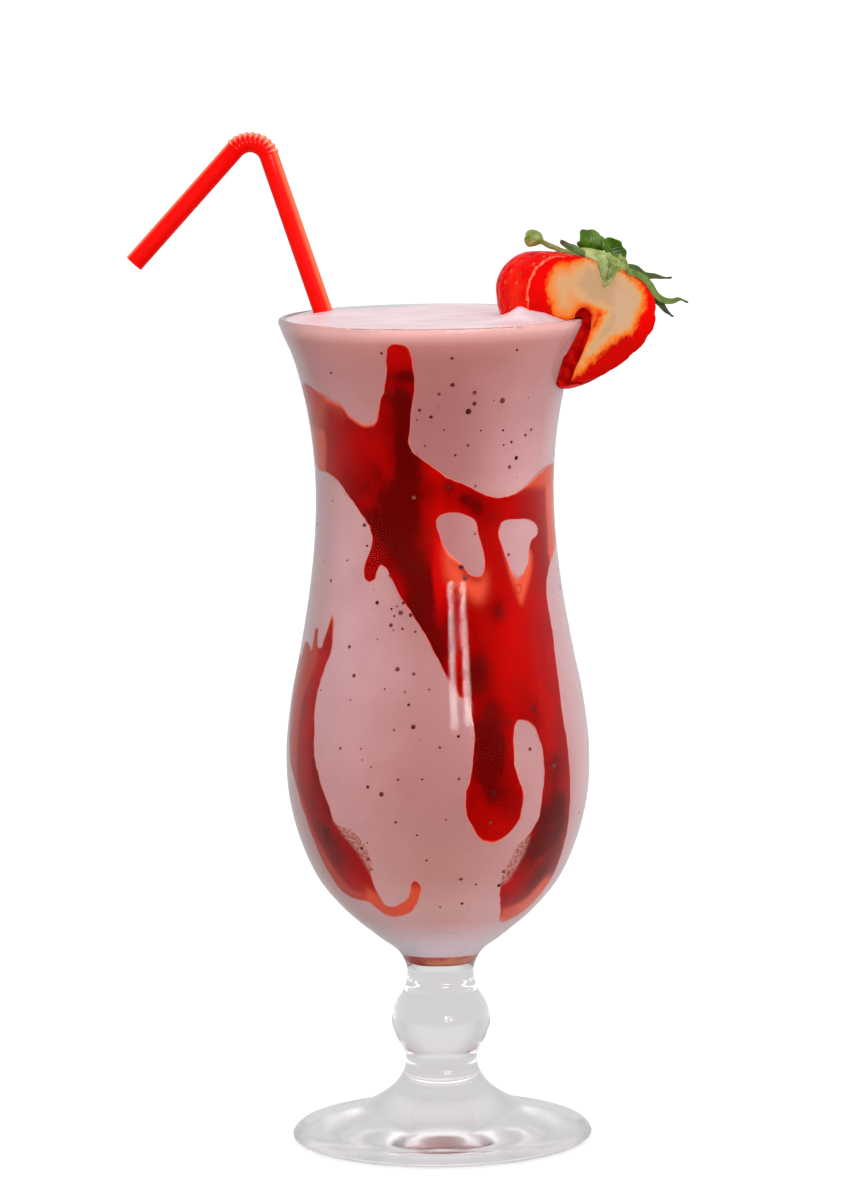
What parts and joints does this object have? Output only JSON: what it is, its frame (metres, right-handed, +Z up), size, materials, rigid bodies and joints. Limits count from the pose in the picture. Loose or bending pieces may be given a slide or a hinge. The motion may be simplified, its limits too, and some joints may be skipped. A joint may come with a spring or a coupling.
{
  "type": "milkshake in a glass",
  "caption": "Strawberry milkshake in a footed hurricane glass, with red sauce running down the inside, a red bendy straw and half a strawberry on the rim.",
  "frame": {"origin": "centre of the underside of the glass's foot, on the glass's axis", "axes": "+Z up the glass, +X towards the strawberry on the rim, -Y towards the side with the main sauce run"},
  "size_m": [0.1467, 0.08, 0.2625],
  "materials": {
    "clear_glass": "clear and polished",
    "strawberry_shake": "stands for a pale pink milkshake",
    "strawberry_sauce": "stands for a glossy dark red sauce",
    "red_straw": "glossy",
    "berry_flesh": "stands for moist fruit",
    "leaf_green": "stands for fresh leaves"
  },
  "bodies": {
    "root": {"glass": "clear_glass", "milkshake": "strawberry_shake", "sauce_band": "strawberry_sauce", "sauce_streak": "strawberry_sauce", "sauce_back_streak": "strawberry_sauce", "straw": "red_straw", "strawberry": "berry_flesh", "strawberry_calyx": "leaf_green"}
  },
  "joints": []
}
